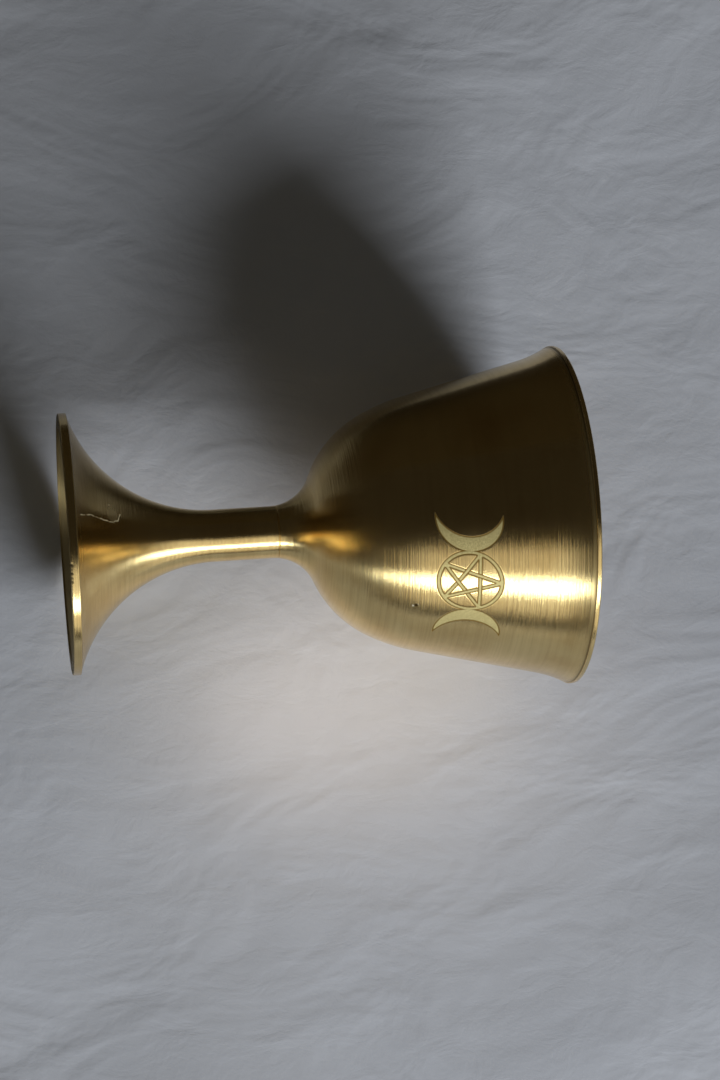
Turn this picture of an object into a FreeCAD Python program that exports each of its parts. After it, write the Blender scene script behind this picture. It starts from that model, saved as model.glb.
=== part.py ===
"""Small turned brass altar chalice, in millimetres.

The chalice stands upright on its foot: the origin is the centre of the foot's standing face, +Z runs up
the axis to the mouth, and the engraved emblem faces -Y. It is made of three pieces: a turned bowl, a turned
stem with its flared foot, and the threaded stud inside the seam that draws the two together.
"""
import FreeCAD, Part
import math
import os

os.makedirs("parts", exist_ok=True)

# Overall sizes
overall_height = 76.2
mouth_diameter = 52.0
foot_diameter = 39.3
stem_diameter = 7.9
seam_height = 32.0

# Foot: a hollow curve that runs out of the stem down to a narrow turned edge
flare_top_height = 22.25
foot_edge_height = 1.25
foot_edge_step = 0.26
foot_wall = 1.5
foot_hollow_height = 9.0
foot_hollow_dome = 1.8
standing_ring_width = 1.9
foot_edge_rounding = 0.2

# Bowl: hollow neck, round shoulder, gently rounded side, straight wall and flared lip
neck_start_below_seam = 1.0
neck_radius = 6.8
neck_slope = 67.4
shoulder_radius = 17.3
shoulder_slope = 29.1
side_radius = 28.8
lip_flare_radius = 18.2
lip_slope = 29.4
bowl_wall = 1.2
lip_edge_height = 0.95
lip_edge_step = 0.15
lip_edge_rounding = 0.25
lip_inner_rounding = 0.45

# Seam and the threaded stud that joins bowl and stem
seam_chamfer = 0.1
stud_diameter = 4.0
thread_pitch = 0.7
thread_depth = 0.43
thread_clearance = 0.03
stud_in_bowl = 2.8
stud_in_stem = 6.0
stud_end_gap = 0.35
stud_slot_width = 0.7
stud_slot_depth = 0.9

# Emblem: a five-pointed star in a ring between two crescents, cut shallow into the straight wall
emblem_height = 57.8
engraving_depth = 0.06
ring_radius = 4.9
ring_band = 0.52
star_band = 0.42
crescent_radius = 4.9
crescent_inner_radius = 5.4
crescent_thickness = 2.15
crescent_overlap = 0.15

mouth_radius = mouth_diameter / 2
foot_radius = foot_diameter / 2
stem_radius = stem_diameter / 2
neck_start_height = seam_height - neck_start_below_seam
neck_angle = math.radians(neck_slope)
shoulder_angle = math.radians(shoulder_slope)
lip_angle = math.radians(lip_slope)


# ---- Outlines -------------------------------------------------------------------------------------------
# An outline is drawn in the half plane right of the axis as (radius, height) points. Its direction at any
# point is the angle that it leans out from the axis, so a cylinder is 0 and a flat floor is 90 degrees.

def vector(radius, height):
    return FreeCAD.Vector(radius, 0, height)


def arc_point(start, from_angle, to_angle, radius):
    """Point reached from start on an arc that turns from one lean to the other."""
    turn = 1 if to_angle > from_angle else -1
    return (start[0] - turn * radius * (math.cos(to_angle) - math.cos(from_angle)),
            start[1] + turn * radius * (math.sin(to_angle) - math.sin(from_angle)))


def arc_edge(start, from_angle, to_angle, radius):
    """The same arc as an edge, and its end point."""
    middle = arc_point(start, from_angle, (from_angle + to_angle) / 2, radius)
    end = arc_point(start, from_angle, to_angle, radius)
    return Part.Arc(vector(*start), vector(*middle), vector(*end)).toShape(), end


def line_edge(start, end):
    return Part.makeLine(vector(*start), vector(*end))


def turned(edges):
    """Solid of revolution about the axis from a closed outline."""
    face = Part.Face(Part.Wire(Part.__sortEdges__(edges)))
    solid = face.revolve(FreeCAD.Vector(0, 0, 0), FreeCAD.Vector(0, 0, 1), 360)
    return Part.Solid(solid.Shells[0]) if solid.ShapeType != "Solid" else solid


def circles_at(solid, radius, height):
    """The circular edges of a turned solid at one radius and height."""
    found = []
    for edge in solid.Edges:
        if edge.Degenerated or not edge.isClosed():
            continue
        point = edge.Vertexes[0].Point
        if abs(point.z - height) < 1e-4 and abs(math.hypot(point.x, point.y) - radius) < 1e-4:
            found.append(edge)
    return found


# ---- Outside of the bowl --------------------------------------------------------------------------------

def wall_foot(wall_angle):
    """Where the straight wall starts, for a given lean of the wall."""
    neck_top = arc_point((stem_radius, neck_start_height), 0, neck_angle, neck_radius)
    shoulder_top = arc_point(neck_top, neck_angle, shoulder_angle, shoulder_radius)
    return arc_point(shoulder_top, shoulder_angle, wall_angle, side_radius)


def flare_start(wall_angle):
    """Where the straight wall ends and the lip starts to flare."""
    radius, height = wall_foot(wall_angle)
    flare_rise = lip_flare_radius * (math.sin(lip_angle) - math.sin(wall_angle))
    flare_height = overall_height - lip_edge_height - flare_rise
    return radius + (flare_height - height) * math.tan(wall_angle), flare_height


def lip_miss(wall_angle):
    """How far outside its place under the lip's turned edge the flare ends."""
    flare_end = arc_point(flare_start(wall_angle), wall_angle, lip_angle, lip_flare_radius)
    return flare_end[0] - (mouth_radius - lip_edge_step)


def solve_wall_angle():
    """The lean that carries the wall out to the mouth diameter, by halving the interval."""
    low, high = 0.0, min(shoulder_angle, lip_angle)
    for _ in range(60):
        middle = (low + high) / 2
        low, high = (low, middle) if lip_miss(middle) > 0 else (middle, high)
    return (low + high) / 2


wall_angle = solve_wall_angle()


def inward(point, angle, distance):
    """Point moved square to the outline, towards the inside of the bowl."""
    return point[0] - distance * math.cos(angle), point[1] + distance * math.sin(angle)


# ---- Thread ---------------------------------------------------------------------------------------------

stud_radius = stud_diameter / 2
stud_bottom = seam_height - stud_in_stem
stud_top = seam_height + stud_in_bowl


def thread_solid(growth, bottom, top):
    """Threaded rod drawn as rings at the thread's pitch; a tapped hole is the same rod, grown by its fit."""
    crest = stud_radius + growth
    root = crest - thread_depth
    flank = thread_pitch / 3
    first_turn = stud_bottom + thread_pitch / 2
    turns = int((stud_top - first_turn - thread_pitch / 2) / thread_pitch)
    points = [(0, bottom), (root, bottom)]
    for turn in range(turns):
        turn_start = first_turn + turn * thread_pitch
        points += [(root, turn_start), (crest, turn_start + flank),
                   (crest, turn_start + flank + thread_pitch / 8),
                   (root, turn_start + 2 * flank + thread_pitch / 8)]
    points += [(root, top), (0, top)]
    edges = [line_edge(a, b) for a, b in zip(points, points[1:] + points[:1])]
    return turned(edges)


# ---- Bowl -----------------------------------------------------------------------------------------------

def make_bowl():
    """Turned shell with a solid neck that is tapped from below."""
    seam_angle = math.asin(neck_start_below_seam / neck_radius)
    seam_point = arc_point((stem_radius, neck_start_height), 0, seam_angle, neck_radius)
    wall_start = wall_foot(wall_angle)
    flare_low = flare_start(wall_angle)

    neck, neck_top = arc_edge(seam_point, seam_angle, neck_angle, neck_radius)
    shoulder, shoulder_top = arc_edge(neck_top, neck_angle, shoulder_angle, shoulder_radius)
    side, side_top = arc_edge(shoulder_top, shoulder_angle, wall_angle, side_radius)
    wall = line_edge(side_top, flare_low)
    flare, flare_top = arc_edge(flare_low, wall_angle, lip_angle, lip_flare_radius)
    edge_low = (mouth_radius, flare_top[1])
    edge_top = (mouth_radius, overall_height)
    outside = [neck, shoulder, side, wall, flare, line_edge(flare_top, edge_low), line_edge(edge_low, edge_top)]

    # The inside runs parallel to the outside, and closes in a round bottom centred on the axis.
    inner_neck_top = inward(neck_top, neck_angle, bowl_wall)
    bottom_radius = inner_neck_top[0] / math.cos(neck_angle)
    bottom_centre = inner_neck_top[1] + bottom_radius * math.sin(neck_angle)
    bottom = (0, bottom_centre - bottom_radius)
    bottom_arc, _ = arc_edge(inner_neck_top, neck_angle, math.pi / 2, -bottom_radius)
    inner_shoulder, inner_shoulder_top = arc_edge(
        inner_neck_top, neck_angle, shoulder_angle, shoulder_radius - bowl_wall)
    inner_side, inner_side_top = arc_edge(
        inner_shoulder_top, shoulder_angle, wall_angle, side_radius - bowl_wall)
    inner_flare_low = inward(flare_low, wall_angle, bowl_wall)
    inner_wall = line_edge(inner_side_top, inner_flare_low)
    inner_flare_radius = lip_flare_radius + bowl_wall
    rise = overall_height - inner_flare_low[1]
    mouth_angle = math.asin(min(0.99, math.sin(wall_angle) + rise / inner_flare_radius))
    inner_flare, inner_top = arc_edge(inner_flare_low, wall_angle, mouth_angle, inner_flare_radius)
    inside = [bottom_arc, inner_shoulder, inner_side, inner_wall, inner_flare]

    seam_face = [line_edge((0, seam_height), seam_point), line_edge((0, seam_height), bottom)]
    shell = turned(outside + inside + seam_face + [line_edge(edge_top, inner_top)])
    shell = shell.makeFillet(lip_edge_rounding, circles_at(shell, mouth_radius, overall_height))
    shell = shell.makeFillet(lip_inner_rounding, circles_at(shell, inner_top[0], overall_height))
    shell = shell.makeChamfer(seam_chamfer, circles_at(shell, seam_point[0], seam_height))
    tapped = thread_solid(thread_clearance, seam_height - seam_chamfer, stud_top + stud_end_gap)
    return shell.cut(tapped).cut(emblem_cutter(wall_start))


# ---- Emblem ---------------------------------------------------------------------------------------------

def emblem_cutter(wall_start):
    """Shallow cutter for the emblem. It is drawn on the wall as if unrolled, and seen square on from -Y."""
    radius_at_emblem = wall_start[0] + (emblem_height - wall_start[1]) * math.tan(wall_angle)

    def on_wall(across, up):
        return FreeCAD.Vector(radius_at_emblem * math.sin(across / radius_at_emblem), -mouth_radius,
                              emblem_height + up * math.cos(wall_angle))

    def disc(radius):
        """Circle on the wall, which from -Y is an ellipse because the wall curves away and leans."""
        centre = on_wall(0, 0)
        ends = sorted((on_wall(0, radius), on_wall(radius, 0)), key=lambda point: (point - centre).Length)
        return Part.Face(Part.Wire(Part.Ellipse(ends[1], ends[0], centre).toShape()))

    def crescent(side):
        """Crescent whose back runs into the ring and whose horns point away from it."""
        back = ring_radius - crescent_overlap
        hollow = back + crescent_thickness
        back_centre = back + crescent_radius
        hollow_centre = hollow + crescent_inner_radius
        spread = hollow_centre - back_centre
        tip_across = back_centre + (crescent_radius ** 2 - crescent_inner_radius ** 2 + spread ** 2) / (2 * spread)
        tip_up = math.sqrt(crescent_radius ** 2 - (tip_across - back_centre) ** 2)
        low = on_wall(side * tip_across, -tip_up)
        high = on_wall(side * tip_across, tip_up)
        arcs = [Part.Arc(low, on_wall(side * middle, 0), high).toShape() for middle in (back, hollow)]
        return Part.Face(Part.Wire(Part.__sortEdges__(arcs)))

    def star_bar(tip):
        """One straight bar of the star, from a tip to the next but one, with its ends inside the ring."""
        reach = ring_radius - ring_band / 2
        start, end = [(reach * math.sin(turn), reach * math.cos(turn))
                      for turn in (tip * 2 * math.pi / 5, (tip + 2) * 2 * math.pi / 5)]
        length = math.dist(start, end)
        side = ((end[1] - start[1]) / length * star_band / 2, (start[0] - end[0]) / length * star_band / 2)
        corners = [on_wall(point[0] + sign * side[0], point[1] + sign * side[1])
                   for point, sign in ((start, 1), (end, 1), (end, -1), (start, -1))]
        return Part.Face(Part.makePolygon(corners + corners[:1]))

    ring = disc(ring_radius).cut(disc(ring_radius - ring_band))
    faces = [ring, crescent(-1), crescent(1)] + [star_bar(tip) for tip in range(5)]
    prisms = [face.extrude(FreeCAD.Vector(0, mouth_radius, 0)) for face in faces]
    pattern = prisms[0].fuse(prisms[1:])
    low = emblem_height - 2 * ring_radius
    inset = engraving_depth / math.cos(wall_angle)
    low_radius = wall_start[0] + (low - wall_start[1]) * math.tan(wall_angle) - inset
    high_radius = low_radius + 4 * ring_radius * math.tan(wall_angle)
    core = Part.makeCone(low_radius, high_radius, 4 * ring_radius, FreeCAD.Vector(0, 0, low))
    return pattern.cut(core)


# ---- Stem and foot --------------------------------------------------------------------------------------

def make_stem_and_foot():
    """Slender stem that flares into a trumpet foot, hollowed from below and tapped from above."""
    flare_foot_radius = foot_radius - foot_edge_step
    drop = flare_top_height - foot_edge_height
    spread = flare_foot_radius - stem_radius
    flare_radius = (drop ** 2 + spread ** 2) / (2 * spread)
    centre = (stem_radius + flare_radius, flare_top_height)

    def on_flare(height, radius):
        """Point on a curve about the flare's centre."""
        return centre[0] - math.sqrt(radius ** 2 - (centre[1] - height) ** 2), height

    flare_foot = (flare_foot_radius, foot_edge_height)
    flare_middle = on_flare(flare_top_height - drop * 0.7, flare_radius)
    flare_top = (stem_radius, flare_top_height)
    flare = Part.Arc(vector(*flare_foot), vector(*flare_middle), vector(*flare_top)).toShape()
    neck_start = (stem_radius, neck_start_height)
    seam_angle = math.asin(neck_start_below_seam / neck_radius)
    neck, seam_point = arc_edge(neck_start, 0, seam_angle, neck_radius)

    # Underside: a flat standing ring, a short step and a hollow that follows the flare to a dome
    hollow_radius = flare_radius + foot_wall
    ring_inner = foot_radius - standing_ring_width
    step_height = centre[1] - math.sqrt(hollow_radius ** 2 - (centre[0] - ring_inner) ** 2)
    hollow_low = (ring_inner, step_height)
    hollow_high = on_flare(foot_hollow_height, hollow_radius)
    hollow_middle = on_flare((step_height + foot_hollow_height) / 2, hollow_radius)
    hollow = Part.Arc(vector(*hollow_low), vector(*hollow_middle), vector(*hollow_high)).toShape()
    dome_top = (0, foot_hollow_height + foot_hollow_dome)
    dome_radius = (hollow_high[0] ** 2 + foot_hollow_dome ** 2) / (2 * foot_hollow_dome)
    dome_half = math.asin(hollow_high[0] / dome_radius) / 2
    dome_middle = (dome_radius * math.sin(dome_half), dome_top[1] - dome_radius * (1 - math.cos(dome_half)))
    dome = Part.Arc(vector(*hollow_high), vector(*dome_middle), vector(*dome_top)).toShape()

    edges = [line_edge((ring_inner, 0), (foot_radius, 0)),
             line_edge((foot_radius, 0), (foot_radius, foot_edge_height)),
             line_edge((foot_radius, foot_edge_height), flare_foot),
             flare, line_edge(flare_top, neck_start), neck,
             line_edge(seam_point, (0, seam_height)), line_edge((0, seam_height), dome_top),
             dome, hollow, line_edge(hollow_low, (ring_inner, 0))]
    body = turned(edges)
    body = body.makeFillet(foot_edge_rounding, circles_at(body, foot_radius, 0))
    body = body.makeFillet(foot_edge_step / 2, circles_at(body, foot_radius, foot_edge_height))
    body = body.makeChamfer(seam_chamfer, circles_at(body, seam_point[0], seam_height))
    tapped = thread_solid(thread_clearance, stud_bottom, seam_height + seam_chamfer)
    return body.cut(tapped)


# ---- Joining stud ---------------------------------------------------------------------------------------

def make_joining_stud():
    """Headless screw, slotted at the top, that bottoms in the stem and draws the bowl onto it."""
    stud = thread_solid(0, stud_bottom, stud_top)
    slot = Part.makeBox(2 * stud_diameter, stud_slot_width, stud_slot_depth,
                        FreeCAD.Vector(-stud_diameter, -stud_slot_width / 2, stud_top - stud_slot_depth))
    return stud.cut(slot)


pieces = {
    "bowl": make_bowl(),
    "stem_and_foot": make_stem_and_foot(),
    "joining_stud": make_joining_stud(),
}
for name, shape in pieces.items():
    shape = shape.Solids[0] if len(shape.Solids) == 1 else shape
    shape.exportStep(f"parts/{name}.step")
    box = shape.optimalBoundingBox()
    print(f"{name}: {len(shape.Solids)} solid, valid {shape.isValid()}, volume {shape.Volume:.1f}, "
          f"z {box.ZMin:.2f} to {box.ZMax:.2f}, x {box.XMin:.2f} to {box.XMax:.2f}")
print(f"wall leans {math.degrees(wall_angle):.2f} degrees")
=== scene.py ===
import math

import bmesh
import bpy
from mathutils import Matrix, Vector


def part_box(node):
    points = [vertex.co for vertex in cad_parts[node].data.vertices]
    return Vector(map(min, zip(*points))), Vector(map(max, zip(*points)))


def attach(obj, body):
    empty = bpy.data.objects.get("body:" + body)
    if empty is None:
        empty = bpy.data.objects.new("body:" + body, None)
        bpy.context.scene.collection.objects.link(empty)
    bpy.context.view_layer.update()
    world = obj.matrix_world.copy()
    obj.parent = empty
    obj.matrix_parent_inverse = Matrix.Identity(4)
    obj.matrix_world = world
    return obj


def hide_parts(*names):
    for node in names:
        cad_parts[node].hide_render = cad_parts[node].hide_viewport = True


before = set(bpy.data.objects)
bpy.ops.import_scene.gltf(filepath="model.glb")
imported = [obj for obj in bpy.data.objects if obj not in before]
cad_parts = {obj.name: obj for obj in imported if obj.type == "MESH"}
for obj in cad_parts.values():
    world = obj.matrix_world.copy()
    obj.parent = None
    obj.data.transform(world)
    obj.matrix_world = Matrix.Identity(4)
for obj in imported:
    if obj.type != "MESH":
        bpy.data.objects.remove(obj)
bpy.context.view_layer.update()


# ---- Camera ---------------------------------------------------------------------------------------------
# The chalice is looked at as it lies on its side: the camera stands off the foot's end a little, turned so
# that the axis runs across the frame with the mouth on the right and the emblem in the lower half.

MM = 0.001
camera_azimuth = math.radians(-26.07)
camera_elevation = math.radians(-8.49)
camera_distance = 387.5 * MM
camera_aim = Vector((1.8, -0.9, 44.7)) * MM
axis_climb = math.radians(3.51)

toward_camera = Vector((math.sin(camera_azimuth) * math.cos(camera_elevation),
                        -math.cos(camera_azimuth) * math.cos(camera_elevation),
                        math.sin(camera_elevation)))
along_axis = (Vector((0, 0, 1)) - toward_camera * toward_camera.z).normalized()
frame_right = Matrix.Rotation(-axis_climb, 3, toward_camera) @ along_axis
frame_up = toward_camera.cross(frame_right)


def stand(item, centre, right, up, back):
    """Puts an object in the scene by its centre and the directions of its own X, Y and Z."""
    item.matrix_world = Matrix.Translation(centre) @ Matrix((right, up, back)).transposed().to_4x4()
    bpy.context.scene.collection.objects.link(item)


camera_data = bpy.data.cameras.new("camera")
camera_data.lens = 84.75
camera_data.sensor_width = 36.0
camera = bpy.data.objects.new("camera", camera_data)
stand(camera, camera_aim + toward_camera * camera_distance, frame_right, frame_up, toward_camera)
bpy.context.scene.camera = camera


# ---- Cloth behind, floor below and the light ------------------------------------------------------------
# A pale cotton cloth that the chalice rests against with its foot and lip, and a plain pale floor that it
# stands on when it is seen upright. Each shows its face only, so neither hides the chalice from behind.
# A large window, in a dimmer glow of wall and curtain, lights the chalice from the side.

def srgb(hex_code):
    """Linear colour, with alpha, from an sRGB hex code."""
    channels = [int(hex_code[i:i + 2], 16) / 255 for i in (1, 3, 5)]
    return [c / 12.92 if c <= 0.04045 else ((c + 0.055) / 1.055) ** 2.4 for c in channels] + [1.0]


def add(tree, kind, inputs=(), **settings):
    """Adds a node, sets its properties, and sets or links its inputs by name or number."""
    node = tree.nodes.new(kind)
    for name, value in settings.items():
        setattr(node, name, value)
    for name, value in dict(inputs).items():
        if isinstance(value, bpy.types.NodeSocket):
            tree.links.new(value, node.inputs[name])
        else:
            node.inputs[name].default_value = value
    return node


def new_material(name):
    """An empty material: its node tree and its output node."""
    material = bpy.data.materials.new(name)
    material.use_nodes = True
    material.node_tree.nodes.clear()
    return material, material.node_tree, material.node_tree.nodes.new("ShaderNodeOutputMaterial")


def shown_from_front(tree, shader):
    """The shader on a sheet's face, and nothing on its back."""
    clear = add(tree, "ShaderNodeBsdfTransparent")
    back = add(tree, "ShaderNodeNewGeometry").outputs["Backfacing"]
    return add(tree, "ShaderNodeMixShader", {0: back, 1: shader, 2: clear.outputs[0]}).outputs[0]


def shaped(name, bm):
    """The object of a finished bmesh."""
    mesh = bpy.data.meshes.new(name)
    bm.to_mesh(mesh)
    bm.free()
    return bpy.data.objects.new(name, mesh)


def hide_from(item, *rays):
    """Leaves an object out of what some kinds of ray meet."""
    for ray in rays:
        setattr(item, "visible_" + ray, False)


# The cloth lies in the plane that touches the rims of foot and mouth on the side away from the camera.
foot_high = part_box("stem_and_foot")[1]
bowl_low, bowl_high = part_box("bowl")
away = Vector((-toward_camera.x, -toward_camera.y, 0)).normalized()
rest_at_foot = away * foot_high.x
rest_at_lip = away * bowl_high.x + Vector((0, 0, bowl_high.z))
cloth_up = (rest_at_lip - rest_at_foot).normalized()
cloth_side = Vector((0, 0, 1)).cross(away)
cloth_face = cloth_side.cross(cloth_up).normalized()
if cloth_face.dot(away) > 0:
    cloth_face.negate()

cloth_reach = 0.9
cloth_gap = 0.25 * MM
cloth_cells = 180
flat_reach, fold_growth = 0.045, 0.06
fold_height, fold_sink = 1.1 * MM, 2.6 * MM
bm = bmesh.new()
bmesh.ops.create_grid(bm, x_segments=cloth_cells, y_segments=cloth_cells, size=cloth_reach)
# The cloth is flat under the chalice. Further out, three sets of low waves cross, none of them straight.
for vertex in bm.verts:
    x, y = vertex.co.x, vertex.co.y
    far = min(1.0, max(0.0, (math.hypot(x, y) - flat_reach) / fold_growth))
    wave = (math.sin(x * 46 + 2.2 * math.sin(y * 21)) + math.sin(y * 38 + 1.7 * math.sin(x * 17) + 1.0)
            + 0.6 * math.sin((x + y) * 71 + 1.3 * math.sin((x - y) * 33)))
    vertex.co.z = far * (fold_height * wave - fold_sink)
for face in bm.faces:
    face.smooth = True
cloth = shaped("cloth", bm)
stand(cloth, (rest_at_foot + rest_at_lip) / 2 - cloth_face * cloth_gap,
      cloth_side, cloth_face.cross(cloth_side), cloth_face)

# Bleached cotton: matt, a faint blue-grey, cloudy over some 70 mm, with folds of 18 mm and creases of 5 mm.
# The threads are too fine to show, so the weave is drawn as coarse as 0.8 mm.
material, tree, output = new_material("cotton_cloth_plain_weave")
place = add(tree, "ShaderNodeTexCoord").outputs["Object"]
clouds = add(tree, "ShaderNodeTexNoise", {"Vector": place, "Scale": 14.0, "Detail": 5.0, "Roughness": 0.55})
weave = add(tree, "ShaderNodeTexNoise", {"Vector": place, "Scale": 1200.0, "Detail": 2.0})
drawn_out = add(tree, "ShaderNodeMapping", {"Vector": place, "Scale": (1.0, 0.55, 1.0)})
creases = add(tree, "ShaderNodeTexNoise", {"Vector": drawn_out.outputs[0], "Scale": 210.0, "Detail": 5.0,
                                           "Roughness": 0.6, "Distortion": 0.6})
folds = add(tree, "ShaderNodeTexNoise", {"Vector": drawn_out.outputs[0], "Scale": 55.0, "Detail": 3.0,
                                         "Distortion": 0.8})
shade = add(tree, "ShaderNodeMix", {"Factor": clouds.outputs["Fac"], "A": srgb("#C9CCD3"),
                                    "B": srgb("#DFE0E4")}, data_type="RGBA")
bends = add(tree, "ShaderNodeBump", {"Strength": 0.5, "Distance": 0.002, "Height": folds.outputs["Fac"]})
wrinkles = add(tree, "ShaderNodeBump", {"Strength": 0.4, "Distance": 0.0004, "Height": creases.outputs["Fac"],
                                        "Normal": bends.outputs[0]})
dents = add(tree, "ShaderNodeBump", {"Strength": 0.25, "Distance": 0.0001, "Height": weave.outputs["Fac"],
                                     "Normal": wrinkles.outputs[0]})
cotton = add(tree, "ShaderNodeBsdfPrincipled", {"Base Color": shade.outputs[2], "Roughness": 0.9,
                                                "Specular IOR Level": 0.2, "Normal": dents.outputs[0]})
tree.links.new(shown_from_front(tree, cotton.outputs[0]), output.inputs["Surface"])
cloth.data.materials.append(material)

floor_radius = 2.5
bm = bmesh.new()
bmesh.ops.create_circle(bm, cap_ends=True, segments=96, radius=floor_radius)
floor = shaped("floor", bm)
bpy.context.scene.collection.objects.link(floor)
hide_from(floor, "glossy", "diffuse", "shadow", "transmission")

# Matt laminate, pale and almost even.
material, tree, output = new_material("laminate_matt")
place = add(tree, "ShaderNodeTexCoord").outputs["Object"]
grain = add(tree, "ShaderNodeTexNoise", {"Vector": place, "Scale": 60.0, "Detail": 4.0})
shade = add(tree, "ShaderNodeMix", {"Factor": grain.outputs["Fac"], "A": srgb("#D9DADD"),
                                    "B": srgb("#E3E4E6")}, data_type="RGBA")
board = add(tree, "ShaderNodeBsdfPrincipled", {"Base Color": shade.outputs[2], "Roughness": 0.7})
tree.links.new(shown_from_front(tree, board.outputs[0]), output.inputs["Surface"])
floor.data.materials.append(material)


def receivers(name, objects, state):
    """A light-linking collection that includes or excludes some objects."""
    collection = bpy.data.collections.new(name)
    for item in objects:
        collection.objects.link(item)
    for entry in collection.collection_objects:
        entry.light_linking.link_state = state
    return collection


def area_light(name, width, height, energy, colour, lights):
    """Rectangular light, itself unseen, for the objects of one collection."""
    data = bpy.data.lights.new(name, "AREA")
    data.shape = "RECTANGLE"
    data.size, data.size_y = width, height
    data.energy = energy
    data.color = colour
    light = bpy.data.objects.new(name, data)
    light.light_linking.receiver_collection = lights
    hide_from(light, "camera")
    return light


def soft_light(name, right, down, distance, width, height, radiance, colour, lights, swing=0, droop=0):
    """Area light that faces the chalice from some degrees right of and below the camera.

    swing brings its right end nearer and takes the left end away; droop lets the right end hang lower.
    Lengths are in metres.
    """
    direction = toward_camera * math.cos(math.radians(down)) - frame_up * math.sin(math.radians(down))
    direction = direction * math.cos(math.radians(right)) + frame_right * math.sin(math.radians(right))
    side = (frame_right - direction * frame_right.dot(direction)).normalized()
    facing = Matrix((side, direction.cross(side), direction)).transposed()
    turned_in = Matrix.Rotation(math.radians(-droop), 3, "Z") @ Matrix.Rotation(math.radians(swing), 3, "Y")
    light = area_light(name, width, height, radiance * math.pi * width * height, colour, lights)
    light.matrix_world = Matrix.Translation(camera_aim + direction * distance) @ (facing @ turned_in).to_4x4()
    bpy.context.scene.collection.objects.link(light)


# The window is a bright pane in a dimmer, wider glow of wall and curtain. The cloth has a window of its own,
# further round to the side, that sets where the chalice's shadow falls on it.
not_the_stage = receivers("not_the_stage", [cloth, floor], "EXCLUDE")
only_the_cloth = receivers("only_the_cloth", [cloth], "INCLUDE")
only_the_floor = receivers("only_the_floor", [floor], "INCLUDE")
soft_light("window_pane", right=6.5, down=55, distance=1.3, width=2.3, height=0.21, radiance=9.0,
           colour=(0.82, 0.91, 1.0), lights=not_the_stage, swing=25, droop=7)
soft_light("window_glow", right=12, down=51, distance=1.3, width=1.9, height=1.55, radiance=0.85,
           colour=(1.0, 0.98, 0.92), lights=not_the_stage, swing=25, droop=7)
soft_light("window_on_cloth", right=33, down=64, distance=1.3, width=0.85, height=0.7, radiance=7.4,
           colour=(0.91, 0.95, 1.0), lights=only_the_cloth)
soft_light("room_on_cloth", right=0, down=0, distance=1.5, width=1.6, height=1.6, radiance=0.06,
           colour=(0.9, 1.0, 1.0), lights=only_the_cloth)

# The brass throws a little warm light on the cloth just below the bowl.
glow_right, glow_down = 0.3 * foot_high.x, 1.05 * bowl_high.x
glow = area_light("glow_off_brass", width=0.05, height=0.02, energy=0.0035, colour=(1.0, 0.84, 0.7),
                  lights=only_the_cloth)
hide_from(glow, "glossy")
stand(glow, camera_aim + frame_right * glow_right - frame_up * glow_down,
      frame_right, frame_up, toward_camera)

# A dark card beyond the chalice, seen in the brass only, is painted shade for the cloth in shadow beyond it:
# it keeps the edge that faces away from the window dark.
card_beyond = bowl_high.x + 28 * MM
card_width, card_height = 0.5, 75 * MM
bm = bmesh.new()
bmesh.ops.create_grid(bm, x_segments=1, y_segments=1, size=0.5)
bmesh.ops.scale(bm, verts=bm.verts, vec=(card_width, card_height, 1))
card = shaped("shade_card", bm)
stand(card, camera_aim + frame_up * card_beyond + toward_camera * (card_height / 2 - bowl_high.x),
      frame_right, toward_camera, frame_right.cross(toward_camera))
hide_from(card, "camera", "diffuse", "shadow", "transmission")

# Painted shade: a near-black sheet, warm and a touch uneven.
material, tree, output = new_material("painted_shade_black")
place = add(tree, "ShaderNodeTexCoord").outputs["Object"]
card_mottle = add(tree, "ShaderNodeTexNoise", {"Vector": place, "Scale": 300.0, "Detail": 3.0})
shade = add(tree, "ShaderNodeMix", {"Factor": card_mottle.outputs["Fac"], "A": srgb("#292318"), "B": srgb("#332B1E")},
            data_type="RGBA")
shade_sheet = add(tree, "ShaderNodeBsdfPrincipled", {"Base Color": shade.outputs[2], "Roughness": 0.95,
                                              "Specular IOR Level": 0.1})
tree.links.new(shade_sheet.outputs[0], output.inputs["Surface"])
card.data.materials.append(material)

# The floor has a soft light of its own, high above and to the front.
floor_light = area_light("floor_light", width=1.2, height=1.2, energy=14.0, colour=(1.0, 1.0, 1.0),
                         lights=only_the_floor)
hide_from(floor_light, "glossy")
floor_light.matrix_world = Matrix.Translation((0.3, -0.5, 1.4))
bpy.context.scene.collection.objects.link(floor_light)

# The room is dim and warm to everything but the camera, which sees a pale wall.
world = bpy.data.worlds.new("room")
world.use_nodes = True
bpy.context.scene.world = world
tree = world.node_tree
tree.nodes.clear()
dim = add(tree, "ShaderNodeBackground", {"Color": (1.0, 0.86, 0.66, 1.0), "Strength": 0.022})
pale = add(tree, "ShaderNodeBackground", {"Color": srgb("#C9CBD0"), "Strength": 1.0})
seen = add(tree, "ShaderNodeLightPath").outputs["Is Camera Ray"]
room = add(tree, "ShaderNodeMixShader", {0: seen, 1: dim.outputs[0], 2: pale.outputs[0]})
add(tree, "ShaderNodeOutputWorld", {"Surface": room.outputs[0]})
bpy.context.scene.view_settings.view_transform = "Standard"


# ---- Stem and foot --------------------------------------------------------------------------------------
# One turned brass piece: a slender stem that flares into a trumpet foot with a narrow turned edge. The
# underside is hollowed on the lathe, and the top is faced, bevelled and tapped for the joining stud.

stud_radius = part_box("joining_stud")[1].x / MM
stud_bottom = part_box("joining_stud")[0].z / MM
seam_height = bowl_low.z / MM
foot_radius = foot_high.x / MM
stem_radius = 3.95
neck_start = seam_height - 1.0
neck_radius = 6.8
seam_bevel = 0.1
thread_clearance = 0.03
bore_radius = stud_radius + thread_clearance


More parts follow.
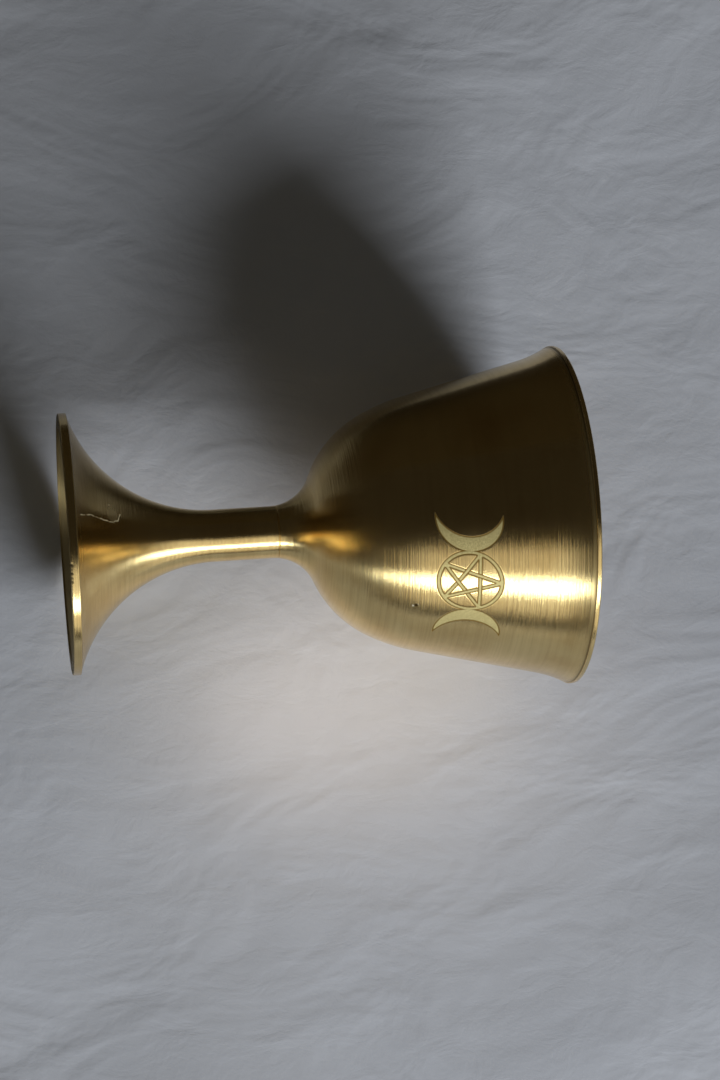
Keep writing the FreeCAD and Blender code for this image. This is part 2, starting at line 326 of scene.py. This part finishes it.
def arc(outline, from_lean, to_lean, radius, spacing):
    """Carries an outline of (radius, height) points on along an arc, from one lean off the axis to another.

    Leans are in degrees; spacing is the longest step from point to point, in mm.
    """
    start_radius, start_height = outline[-1]
    turn = 1 if to_lean > from_lean else -1
    steps = max(2, math.ceil(radius * math.radians(abs(to_lean - from_lean)) / spacing))
    for step in range(1, steps + 1):
        lean = math.radians(from_lean + (to_lean - from_lean) * step / steps)
        start_lean = math.radians(from_lean)
        outline.append((start_radius - turn * radius * (math.cos(lean) - math.cos(start_lean)),
                        start_height + turn * radius * (math.sin(lean) - math.sin(start_lean))))


def line(outline, radius, height, spacing):
    """Carries an outline straight on to a point."""
    start_radius, start_height = outline[-1]
    steps = max(1, math.ceil(math.hypot(radius - start_radius, height - start_height) / spacing))
    for step in range(1, steps + 1):
        share = step / steps
        outline.append((start_radius + (radius - start_radius) * share,
                        start_height + (height - start_height) * share))


def turned(outline, fine_from, fine_to, fine_steps, coarse_steps):
    """Spins an outline, in mm, into a closed mesh. Angles are degrees round from -Y towards +X."""
    bm = bmesh.new()
    along = bm.verts.layers.float.new("along_outline")
    for start, end, steps in ((fine_from, fine_to, fine_steps), (fine_to, fine_from + 360, coarse_steps)):
        turn = Matrix.Rotation(math.radians(start - 90), 3, "Z")
        travelled = 0.0
        chain = []
        for index, (radius, height) in enumerate(outline):
            if index:
                travelled += math.dist(outline[index - 1], (radius, height))
            vertex = bm.verts.new(turn @ Vector((radius, 0, height)) * MM)
            vertex[along] = travelled
            chain.append(vertex)
        edges = [bm.edges.new(pair) for pair in zip(chain, chain[1:])]
        bmesh.ops.spin(bm, geom=chain + edges, cent=(0, 0, 0), axis=(0, 0, 1), steps=steps,
                       angle=math.radians(end - start), use_merge=False)
    weld, sharp_corner = 0.002 * MM, math.radians(30)
    bmesh.ops.remove_doubles(bm, verts=bm.verts, dist=weld)
    bmesh.ops.recalc_face_normals(bm, faces=bm.faces)
    for face in bm.faces:
        face.smooth = True
    for edge in bm.edges:
        edge.smooth = not edge.is_manifold or edge.calc_face_angle() < sharp_corner
    return bm


flare_top, edge_height, edge_step = 22.25, 1.25, 0.26
edge_round, foot_round = 0.12, 0.2
foot_wall, hollow_height, hollow_dome, ring_width = 1.5, 9.0, 1.8, 1.9
drop, spread = flare_top - edge_height, foot_radius - edge_step - stem_radius
flare_radius = (drop ** 2 + spread ** 2) / (2 * spread)
flare_lean = math.degrees(math.asin(drop / flare_radius))
hollow_radius = flare_radius + foot_wall
hollow_centre = stem_radius + flare_radius
hollow_edge = hollow_centre - math.sqrt(hollow_radius ** 2 - (flare_top - hollow_height) ** 2)
ring_inner = foot_radius - ring_width
step_height = flare_top - math.sqrt(hollow_radius ** 2 - (hollow_centre - ring_inner) ** 2)
dome_radius = (hollow_edge ** 2 + hollow_dome ** 2) / (2 * hollow_dome)
dome_lean = math.degrees(math.asin(hollow_edge / dome_radius))

# The outline starts on the axis under the hollow's dome and comes down its side to the standing ring.
dome_steps, side_steps = 10, 16
stem_outline = [(0.0, hollow_height + hollow_dome)]
for step in range(1, dome_steps + 1):
    around = math.radians(dome_lean) * step / dome_steps
    stem_outline.append((dome_radius * math.sin(around),
                         hollow_height + hollow_dome - dome_radius * (1 - math.cos(around))))
for step in range(1, side_steps + 1):
    height = hollow_height + (step_height - hollow_height) * step / side_steps
    stem_outline.append((hollow_centre - math.sqrt(hollow_radius ** 2 - (flare_top - height) ** 2), height))
line(stem_outline, ring_inner, 0.0, 0.3)
line(stem_outline, foot_radius - foot_round, 0.0, 0.45)
arc(stem_outline, 90, 0, foot_round, 0.05)
line(stem_outline, foot_radius, edge_height - edge_round, 0.1)
arc(stem_outline, 0, -90, edge_round, 0.04)
# A shallow groove, as the corner of the tool leaves it, parts the edge from the flare.
groove_lean = 30
edge_groove_radius = (edge_step - edge_round) / (2 * math.cos(math.radians(groove_lean)))
arc(stem_outline, groove_lean - 180, -groove_lean, edge_groove_radius, 0.02)
arc(stem_outline, -flare_lean, 0, flare_radius, 0.3)
line(stem_outline, stem_radius, neck_start, 0.4)
# The neck starts to open and ends in a small bevel, which is the thin dark line of the seam.
seam_lean = math.degrees(math.asin((seam_height - neck_start) / neck_radius))
bevel_start = 0.9
arc(stem_outline, 0, seam_lean * bevel_start, neck_radius, 0.2)
seam_radius = stem_radius + neck_radius * (1 - math.cos(math.radians(seam_lean)))
line(stem_outline, seam_radius - seam_bevel, seam_height, 0.05)
line(stem_outline, bore_radius, seam_height, 0.5)
line(stem_outline, bore_radius, stud_bottom, 0.6)
line(stem_outline, 0.0, stud_bottom, 0.8)

# The side with the scratch and the dings is meshed finer than the rest.
fine_from, fine_to = -62, 12
bm = turned(stem_outline, fine_from, fine_to, 148, 110)

# Small dings where the foot's edge has been knocked, darkened in colour, and painted shade in the turned
# corner between the edge and the flare.
ding_from, ding_to, ding_depth, ding_teeth = -18.0, -9.0, 0.07, 5
ding_reach_up, ding_reach_in = 0.3, 0.5
shade_reach = 0.22
shade_and_dings = bm.verts.layers.float.new("shade_and_dings")
for vertex in bm.verts:
    radius, height = math.hypot(vertex.co.x, vertex.co.y) / MM, vertex.co.z / MM
    azimuth = math.degrees(math.atan2(vertex.co.x, -vertex.co.y))
    from_corner = math.dist((radius, height), (foot_radius - edge_step * 0.7, edge_height))
    vertex[shade_and_dings] = max(0.0, 1 - from_corner / shade_reach)
    on_corner = height < ding_reach_up and radius > foot_radius - ding_reach_in
    if on_corner and ding_from < azimuth < ding_to:
        across = (azimuth - ding_from) / (ding_to - ding_from)
        bite = abs(math.sin(math.pi * ding_teeth * across)) * (0.45 + 0.55 * abs(math.sin(9 * across + 0.6)))
        vertex[shade_and_dings] = bite
        vertex.co.x -= math.sin(math.radians(azimuth)) * ding_depth * bite * MM
        vertex.co.y += math.cos(math.radians(azimuth)) * ding_depth * bite * MM

# The duller brass that the tool left underneath has a finish of its own.
underside = 1
hollow_top = (hollow_height + hollow_dome + 0.1) * MM
for face in bm.faces:
    centre = face.calc_center_median()
    faces_axis = Vector((centre.x, centre.y, 0)).dot(face.normal) < 0
    faces_down = face.normal.z < -0.7
    if centre.z < hollow_top and (faces_down or faces_axis):
        face.material_index = underside
stem_and_foot = shaped("stem_and_foot_turned", bm)
bpy.context.scene.collection.objects.link(stem_and_foot)
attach(stem_and_foot, "root")
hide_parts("stem_and_foot")


def marked(tree, shader, mark, colour, roughness, metallic):
    """Gives a finish another colour, roughness and metallic where the mark is one."""
    changes = (("Base Color", colour, "RGBA", 2), ("Roughness", roughness, "FLOAT", 0),
               ("Metallic", metallic, "FLOAT", 0))
    for name, value, kind, result in changes:
        socket = shader.inputs[name]
        before = socket.links[0].from_socket if socket.links else socket.default_value
        mixed = add(tree, "ShaderNodeMix", {"Factor": mark, "A": before, "B": value}, data_type=kind)
        tree.links.new(mixed.outputs[result], socket)


def turned_brass(name, colour, stain, roughness, feed, line_depth):
    """Brass as it leaves the lathe: satin, with fine lines round the axis that smear a light along it.

    feed is the spacing of the turning lines in mm, and line_depth how strongly they show.
    """
    material, tree, output = new_material(name)
    place = add(tree, "ShaderNodeTexCoord").outputs["Object"]
    flat = add(tree, "ShaderNodeVectorMath", {0: place, 1: (1, 1, 0)}, operation="MULTIPLY")
    round_axis = add(tree, "ShaderNodeVectorMath", {0: flat.outputs[0]}, operation="NORMALIZE")
    travelled = add(tree, "ShaderNodeAttribute", attribute_name="along_outline").outputs["Fac"]

    def rings(spacing, turns):
        """Noise that changes every spacing mm along the outline, and slowly round the axis."""
        around = add(tree, "ShaderNodeVectorMath", {0: round_axis.outputs[0], "Scale": turns},
                     operation="SCALE")
        up = add(tree, "ShaderNodeMath", {0: travelled, 1: 1 / spacing}, operation="MULTIPLY")
        both = add(tree, "ShaderNodeCombineXYZ", {"Z": up.outputs[0]})
        where = add(tree, "ShaderNodeVectorMath", {0: around.outputs[0], 1: both.outputs[0]}, operation="ADD")
        return add(tree, "ShaderNodeTexNoise", {"Vector": where.outputs[0], "Scale": 1.0, "Detail": 1.0,
                                                "Roughness": 0.6}).outputs["Fac"]

    broad = rings(feed, 0.8)
    fine = rings(feed / 3, 1.6)
    lines = add(tree, "ShaderNodeMix", {"Factor": 0.5, "A": broad, "B": fine}, data_type="FLOAT")
    relief = add(tree, "ShaderNodeBump", {"Strength": line_depth, "Distance": 0.12 * MM,
                                          "Height": lines.outputs[0]})
    # The brass has darkened a little in patches some 11 mm across, and again along some of the lines.
    clouds = add(tree, "ShaderNodeTexNoise", {"Vector": place, "Scale": 90.0, "Detail": 5.0,
                                              "Roughness": 0.6})
    patches = add(tree, "ShaderNodeMapRange", {0: clouds.outputs["Fac"], 1: 0.45, 2: 0.75, 3: 0.0, 4: 1.0})
    tone = add(tree, "ShaderNodeMix", {"Factor": patches.outputs[0], "A": srgb(colour), "B": srgb(stain)},
               data_type="RGBA")
    dark_lines = add(tree, "ShaderNodeMapRange", {0: lines.outputs[0], 1: 0.44, 2: 0.6, 3: 0.0, 4: 0.24})
    lined = add(tree, "ShaderNodeMix", {"Factor": dark_lines.outputs[0], "A": tone.outputs[2],
                                        "B": srgb("#B4945A")}, data_type="RGBA")
    uneven = 0.015
    streaks = add(tree, "ShaderNodeMapRange", {0: fine, 1: 0.3, 2: 0.7, 3: roughness - uneven,
                                               4: roughness + uneven})
    tangent = add(tree, "ShaderNodeTangent", direction_type="RADIAL", axis="Z")
    shader = add(tree, "ShaderNodeBsdfPrincipled", {
        "Base Color": lined.outputs[2], "Metallic": 1.0, "Roughness": streaks.outputs[0], "Anisotropic": 0.9,
        "Anisotropic Rotation": 0.25, "Tangent": tangent.outputs[0], "Normal": relief.outputs[0]})
    # Painted shade in the turned corners, and the darkened dings, are dark brown and dull.
    shade_and_dings_fac = add(tree, "ShaderNodeAttribute", attribute_name="shade_and_dings").outputs["Fac"]
    marked(tree, shader, shade_and_dings_fac, srgb("#35260F"), 0.6, 0.7)
    tree.links.new(shader.outputs[0], output.inputs["Surface"])
    return material, tree, shader


def spot(tree, place, centre, inner, outer):
    """One inside a ball of the inner radius, falling to nothing at the outer; centre and radii in mm."""
    reach = add(tree, "ShaderNodeVectorMath", {0: place, 1: [c * MM for c in centre]}, operation="DISTANCE")
    return add(tree, "ShaderNodeMapRange", {0: reach.outputs["Value"], 1: inner * MM, 2: outer * MM,
                                            3: 1.0, 4: 0.0}).outputs[0]


def near_path(tree, place, points):
    """Distance from a path of straight stretches through points in mm."""
    nearest = None
    for start, end in zip(points, points[1:]):
        stretch = (end - start) * MM
        off = add(tree, "ShaderNodeVectorMath", {0: place, 1: start * MM}, operation="SUBTRACT")
        share = add(tree, "ShaderNodeVectorMath", {0: off.outputs[0], 1: stretch / stretch.length_squared},
                    operation="DOT_PRODUCT")
        held = add(tree, "ShaderNodeClamp", {0: share.outputs["Value"]})
        along = add(tree, "ShaderNodeVectorMath", {0: stretch, "Scale": held.outputs[0]}, operation="SCALE")
        reach = add(tree, "ShaderNodeVectorMath", {0: off.outputs[0], 1: along.outputs[0]},
                    operation="DISTANCE")
        reach = reach.outputs["Value"]
        if nearest:
            reach = add(tree, "ShaderNodeMath", {0: nearest, 1: reach}, operation="MINIMUM").outputs[0]
        nearest = reach
    return nearest


def on_flare(height, azimuth):
    """Point on the outside of the flared foot, in mm; the angle is degrees round from -Y towards +X."""
    radius = hollow_centre - math.sqrt(flare_radius ** 2 - (flare_top - height) ** 2)
    turn = math.radians(azimuth)
    return Vector((radius * math.sin(turn), -radius * math.cos(turn), height))


# Outside, satin brass with fine lines some 0.3 mm apart, pale gold and a little deeper in patches.
material, tree, shader = turned_brass("brass_fine_turned", "#EBD092", "#D9B878", 0.25, 0.3, 0.35)
stem_and_foot.data.materials.append(material)

# Handling has tarnished the outermost part of the flare, in uneven patches of about 3 mm.
place = add(tree, "ShaderNodeTexCoord").outputs["Object"]
up_flare = add(tree, "ShaderNodeSeparateXYZ", {0: place}).outputs["Z"]
tarnish_end = 5.5 * MM
near_edge = add(tree, "ShaderNodeMapRange", {0: up_flare, 1: edge_height * MM, 2: tarnish_end, 3: 0.75,
                                             4: 0.0})
past_step = add(tree, "ShaderNodeMath", {0: up_flare, 1: (edge_height + 0.05) * MM}, operation="GREATER_THAN")
blotches = add(tree, "ShaderNodeTexNoise", {"Vector": place, "Scale": 350.0, "Detail": 4.0})
uneven = add(tree, "ShaderNodeMapRange", {0: blotches.outputs["Fac"], 1: 0.3, 2: 0.6, 3: 0.5, 4: 1.0})
tarnish = add(tree, "ShaderNodeMath", {0: near_edge.outputs[0], 1: uneven.outputs[0]}, operation="MULTIPLY")
tarnish = add(tree, "ShaderNodeMath", {0: tarnish.outputs[0], 1: past_step.outputs[0]}, operation="MULTIPLY")
marked(tree, shader, tarnish.outputs[0], srgb("#B09250"), 0.28, 1.0)

# A thin scratch climbs the flare and hooks round a faint scuff, a little broken and paler than the brass.
# Its stops are (height, azimuth), and it strays up to 0.15 mm from the straight way between them.
scratch_stops = ((2.0, -39.5), (3.6, -42.5), (5.7, -42.0), (6.7, -42.0), (7.7, -44.5), (8.1, -51.5))
scratch_route = [on_flare(height, azimuth) for height, azimuth in scratch_stops]
stray = 0.15 * MM
wobble = add(tree, "ShaderNodeTexNoise", {"Vector": place, "Scale": 1500.0, "Detail": 2.0})
shake = add(tree, "ShaderNodeVectorMath", {0: wobble.outputs["Color"], 1: (2 * stray,) * 3,
                                           2: (-stray,) * 3}, operation="MULTIPLY_ADD")
shaken = add(tree, "ShaderNodeVectorMath", {0: place, 1: shake.outputs[0]}, operation="ADD").outputs[0]
scratch = add(tree, "ShaderNodeMapRange", {0: near_path(tree, shaken, scratch_route), 1: 0.04 * MM,
                                           2: 0.12 * MM, 3: 1.0, 4: 0.0})
broken = add(tree, "ShaderNodeMapRange", {0: wobble.outputs["Fac"], 1: 0.35, 2: 0.5, 3: 0.35, 4: 1.0})
scratch = add(tree, "ShaderNodeMath", {0: scratch.outputs[0], 1: broken.outputs[0]}, operation="MULTIPLY")
fleck = spot(tree, place, on_flare(6.5, -56.5), 0.08, 0.18)
scratch = add(tree, "ShaderNodeMath", {0: scratch.outputs[0], 1: fleck}, operation="MAXIMUM")
scuff = add(tree, "ShaderNodeMath", {0: spot(tree, shaken, on_flare(6.9, -48.5), 0.8, 1.5), 1: 0.12},
            operation="MULTIPLY")
marks = add(tree, "ShaderNodeMath", {0: scratch.outputs[0], 1: scuff.outputs[0]}, operation="MAXIMUM")
marked(tree, shader, marks.outputs[0], srgb("#FFF0C4"), 0.6, 0.35)

# Under the foot the brass is as the boring tool left it: rougher, and darker and more olive, which is painted
# shade in the hollow.
material, tree, shader = turned_brass("brass_bored_dull", "#BDAA7C", "#9C885C", 0.6, 0.5, 0.8)
stem_and_foot.data.materials.append(material)


# ---- Bowl -----------------------------------------------------------------------------------------------
# Turned brass shell, 1.2 mm thick, that swells out of the neck into a straight wall and a flared lip with a
# narrow turned edge. The emblem is cut shallow into the wall: pale frosted bands with a fine dark edge.

mouth_radius = bowl_high.x / MM
top_height = bowl_high.z / MM
bowl_wall = 1.2
neck_slope, shoulder_slope, wall_slope, lip_slope = 67.4, 29.1, 13.9, 29.4
shoulder_radius, side_radius, lip_radius = 17.3, 28.8, 18.2
lip_edge_height, lip_round = 0.95, 0.25
stud_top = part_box("joining_stud")[1].z / MM
bore_top = stud_top + 0.35
emblem_height = 57.8
emblem_row = 0.095
emblem_reach = 5.2

bowl_outline = [(0.0, bore_top)]
line(bowl_outline, bore_radius, bore_top, 0.8)
line(bowl_outline, bore_radius, seam_height, 0.6)
line(bowl_outline, seam_radius - seam_bevel, seam_height, 0.5)
line(bowl_outline, seam_radius, seam_height + seam_bevel, 0.05)
arc(bowl_outline, seam_lean, neck_slope, neck_radius, 0.2)
arc(bowl_outline, neck_slope, shoulder_slope, shoulder_radius, 0.55)
arc(bowl_outline, shoulder_slope, wall_slope, side_radius, 0.7)
wall_radius, wall_height = bowl_outline[-1]


def wall_at(height):
    """Outside radius of the straight wall."""
    return wall_radius + (height - wall_height) * math.tan(math.radians(wall_slope))


rise = math.cos(math.radians(wall_slope))
flare_low = top_height - lip_edge_height - lip_radius * (
    math.sin(math.radians(lip_slope)) - math.sin(math.radians(wall_slope)))
line(bowl_outline, wall_at(emblem_height - emblem_reach), emblem_height - emblem_reach, 0.4)
line(bowl_outline, wall_at(emblem_height + emblem_reach), emblem_height + emblem_reach, emblem_row)
line(bowl_outline, wall_at(flare_low), flare_low, 1.5)
arc(bowl_outline, wall_slope, lip_slope, lip_radius, 0.5)

# A fine groove parts the flare from the upright edge of the lip.
edge_low = top_height - lip_edge_height
lip_groove_lean, lip_groove_radius, lip_groove_exit = 65, 0.12, 0.08
groove_radius, groove_height = bowl_outline[-1][0], edge_low + lip_groove_radius
arc(bowl_outline, -lip_groove_lean, lip_groove_lean, lip_groove_radius, 0.05)
line(bowl_outline, mouth_radius, bowl_outline[-1][1] + lip_groove_exit, 0.05)
line(bowl_outline, mouth_radius, top_height - lip_round, 0.2)
arc(bowl_outline, 0, -90, lip_round, 0.05)

# The inside of the lip is flared along with the outside, and its corner is broken in two small bevels.
bevel_low, bevel_middle, bevel_out = 0.45, (0.08, 0.12), 0.3
wall_climb = bowl_wall * math.sin(math.radians(wall_slope))
inner_flare = [(wall_at(flare_low) - bowl_wall * rise, flare_low + wall_climb)]
inner_radius = lip_radius + bowl_wall
mouth_lean = math.degrees(math.asin(math.sin(math.radians(wall_slope))
                                    + (top_height - bevel_low - inner_flare[0][1]) / inner_radius))
arc(inner_flare, wall_slope, mouth_lean, inner_radius, 0.6)
inner_top = inner_flare[-1][0]
line(bowl_outline, inner_top + bevel_out, top_height, 0.2)
line(bowl_outline, inner_top + bevel_middle[0], top_height - bevel_middle[1], 0.08)
bowl_outline += reversed(inner_flare)
line(bowl_outline, wall_radius - bowl_wall * rise, wall_height + wall_climb, 2.0)


def inner_arc(from_lean, to_lean, radius):
    """The inside's arc parallel to an outside arc, from the top down."""
    start_radius, start_height = bowl_outline[-1]
    spacing = 0.9
    steps = math.ceil(radius * math.radians(to_lean - from_lean) / spacing)
    first = math.radians(from_lean)
    for step in range(1, steps + 1):
        lean = math.radians(from_lean + (to_lean - from_lean) * step / steps)
        bowl_outline.append((start_radius + radius * (math.cos(lean) - math.cos(first)),
                             start_height - radius * (math.sin(lean) - math.sin(first))))


inner_arc(wall_slope, shoulder_slope, side_radius - bowl_wall)
inner_arc(shoulder_slope, neck_slope, shoulder_radius - bowl_wall)
inner_arc(neck_slope, 90.0, bowl_outline[-1][0] / math.cos(math.radians(neck_slope)))

emblem_half_turn = 31.0
bm = turned(bowl_outline, -emblem_half_turn, emblem_half_turn, 240, 80)

# The emblem is drawn as if the wall were unrolled: across runs round the bowl, up runs up the wall, in mm.
ring_radius, ring_band, star_band = 4.9, 0.54, 0.5
crescent_radius, crescent_inner_radius, crescent_thickness, crescent_overlap = 4.9, 5.4, 2.15, 0.15
star_tips = [(math.sin(math.tau * k / 5) * (ring_radius - ring_band / 2),
              math.cos(math.tau * k / 5) * (ring_radius - ring_band / 2)) for k in range(5)]


def bar_distance(across, up, k):
    """Signed distance from the edge of the star's bar k, which runs from tip k to the next but one."""
    (ax, ay), (bx, by) = star_tips[k], star_tips[(k + 2) % 5]
    length = math.dist((ax, ay), (bx, by))
    off_line = ((across - ax) * (by - ay) - (up - ay) * (bx - ax)) / length
    return abs(off_line) - star_band / 2


def emblem_distances(across, up):
    """Distances to the cut bands, negative inside, and to the nearest of their dark edges."""
    from_centre = math.hypot(across, up)
    ring = abs(from_centre - ring_radius + ring_band / 2) - ring_band / 2
    back = ring_radius - crescent_overlap
    back_centre = back + crescent_radius
    hollow_middle = back + crescent_thickness + crescent_inner_radius
    side = abs(across)
    crescent = max(math.hypot(side - back_centre, up) - crescent_radius,
                   crescent_inner_radius - math.hypot(side - hollow_middle, up))
    frame_distance = min(ring, crescent)
    within = from_centre - (ring_radius - ring_band / 2)
    bars = [max(bar_distance(across, up, k), within) for k in range(5)]
    far_off = 9.0
    edge = abs(frame_distance) if min(bars) > 0 or within > 0 else far_off
    # Each bar's edges are hidden where a neighbour passes over it, so the star looks woven.
    for k in range(5):
        covered = bars[k - 1] < 0 or bars[(k + 2) % 5] < 0 or bars[k - 2] < 0 or ring < 0
        if not covered:
            edge = min(edge, abs(bars[k]))
    return min(frame_distance, min(bars)), edge


band_depth, edge_depth = 0.018, 0.018
band_slope, edge_width = 0.2, 0.13
edge_reach = 1.0
# Painted shade darkens the fine groove between the lip's flare and its upright edge.
shade_reach = 0.2
on_surface = 0.1
cut = bm.verts.layers.float.new("cut")
cut_edge = bm.verts.layers.float.new("cut_edge")
shade_and_dings = bm.verts.layers.float.new("shade_and_dings")
wall_normal = (rise, -math.sin(math.radians(wall_slope)))
for vertex in bm.verts:
    radius, height = math.hypot(vertex.co.x, vertex.co.y) / MM, vertex.co.z / MM
    vertex[cut] = vertex[cut_edge] = edge_reach
    vertex[shade_and_dings] = max(0.0, 1 - math.dist((radius, height), (groove_radius, groove_height)) / shade_reach)
    turn = math.atan2(vertex.co.x, -vertex.co.y)
    on_wall = abs(radius - wall_at(height)) < on_surface
    level = abs(height - emblem_height) < emblem_reach + 0.01
    if on_wall and level and abs(turn) < math.radians(emblem_half_turn):
        inside_distance, edge_distance = emblem_distances(turn * radius, (height - emblem_height) / rise)
        vertex[cut] = min(edge_reach, inside_distance)
        vertex[cut_edge] = min(edge_reach, edge_distance)
        band = min(1.0, max(0.0, 0.5 - inside_distance / band_slope))
        groove = max(0.0, 1 - edge_distance / edge_width)
        depth = (band_depth * band + edge_depth * groove) * MM
        outward = Vector((math.sin(turn) * wall_normal[0], -math.cos(turn) * wall_normal[0], wall_normal[1]))
        vertex.co -= outward * depth

# The inside, from below its round bottom up to the lip's corner, has a finish of its own.
inside = 1
inside_low, inside_high = (seam_height + 3.2) * MM, (top_height - 0.1) * MM
for face in bm.faces:
    centre = face.calc_center_median()
    outward = Vector((centre.x, centre.y, 0)).dot(face.normal) > 0
    if inside_low < centre.z < inside_high and not outward:
        face.material_index = inside
bowl = shaped("bowl_turned", bm)
bpy.context.scene.collection.objects.link(bowl)
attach(bowl, "root")
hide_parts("bowl")

# The same satin brass as the stem. The engraver's tool left the floor of its bands pale and frosted, with a
# grain drawn 0.14 mm wide so that it shows, and a dark brown line along each of their edges.
material, tree, shader = turned_brass("brass_fine_turned_engraved", "#EBD092", "#D9B878", 0.25, 0.3, 0.4)
place = add(tree, "ShaderNodeTexCoord").outputs["Object"]
cut_value = add(tree, "ShaderNodeAttribute", attribute_name="cut").outputs["Fac"]
edge_value = add(tree, "ShaderNodeAttribute", attribute_name="cut_edge").outputs["Fac"]
in_band = add(tree, "ShaderNodeMapRange", {0: cut_value, 1: 0.03, 2: -0.03, 3: 0.0, 4: 1.0})
at_edge = add(tree, "ShaderNodeMapRange", {0: edge_value, 1: 0.13, 2: 0.05, 3: 0.0, 4: 1.0})
grains = add(tree, "ShaderNodeTexNoise", {"Vector": place, "Scale": 7000.0, "Detail": 1.0})
speckle = add(tree, "ShaderNodeMapRange", {0: grains.outputs["Fac"], 1: 0.35, 2: 0.65})
frosted = add(tree, "ShaderNodeMix", {"Factor": speckle.outputs[0], "A": srgb("#D2BE7E"),
                                      "B": srgb("#F0DF9E")}, data_type="RGBA")
marked(tree, shader, in_band.outputs[0], frosted.outputs[2], 0.7, 0.45)
marked(tree, shader, at_edge.outputs[0], srgb("#937029"), 0.7, 0.55)

# One small nick low on the wall, in paint only: painted shade for a dark dent, with a painted glint below and
# above it.
marked(tree, shader, spot(tree, place, (4.47, -18.42, 50.25), 0.2, 0.45), srgb("#5A4826"), 0.4, 1.0)
marked(tree, shader, spot(tree, place, (4.58, -18.2, 49.85), 0.1, 0.2), srgb("#FFF8DC"), 0.65, 0.5)
marked(tree, shader, spot(tree, place, (4.35, -18.6, 50.55), 0.08, 0.16), srgb("#FFF8DC"), 0.65, 0.5)
bowl.data.materials.append(material)

# Inside, the brass is turned a little coarser and is a shade deeper.
material, tree, shader = turned_brass("brass_turned_inside", "#E3C685", "#CFAD6B", 0.3, 0.4, 0.8)
bowl.data.materials.append(material)


# ---- Joining stud ---------------------------------------------------------------------------------------
# Headless brass screw hidden in the seam, which holds the bowl down on the stem. Cut on a machine and left
# bright, so it keeps the shape of the design and only takes its finish here.

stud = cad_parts["joining_stud"]
stud.data.materials.clear()

# Machined brass: bright, with small scuffs that make it unevenly dull.
material, tree, output = new_material("brass_machined")
place = add(tree, "ShaderNodeTexCoord").outputs["Object"]
scuffs = add(tree, "ShaderNodeTexNoise", {"Vector": place, "Scale": 2500.0, "Detail": 3.0})
worn = add(tree, "ShaderNodeMapRange", {0: scuffs.outputs["Fac"], 1: 0.3, 2: 0.7, 3: 0.25, 4: 0.4})
shade = add(tree, "ShaderNodeMix", {"Factor": scuffs.outputs["Fac"], "A": srgb("#D8B873"),
                                    "B": srgb("#C4A05A")}, data_type="RGBA")
shader = add(tree, "ShaderNodeBsdfPrincipled", {"Base Color": shade.outputs[2], "Metallic": 1.0,
                                                "Roughness": worn.outputs[0]})
tree.links.new(shader.outputs[0], output.inputs["Surface"])
stud.data.materials.append(material)
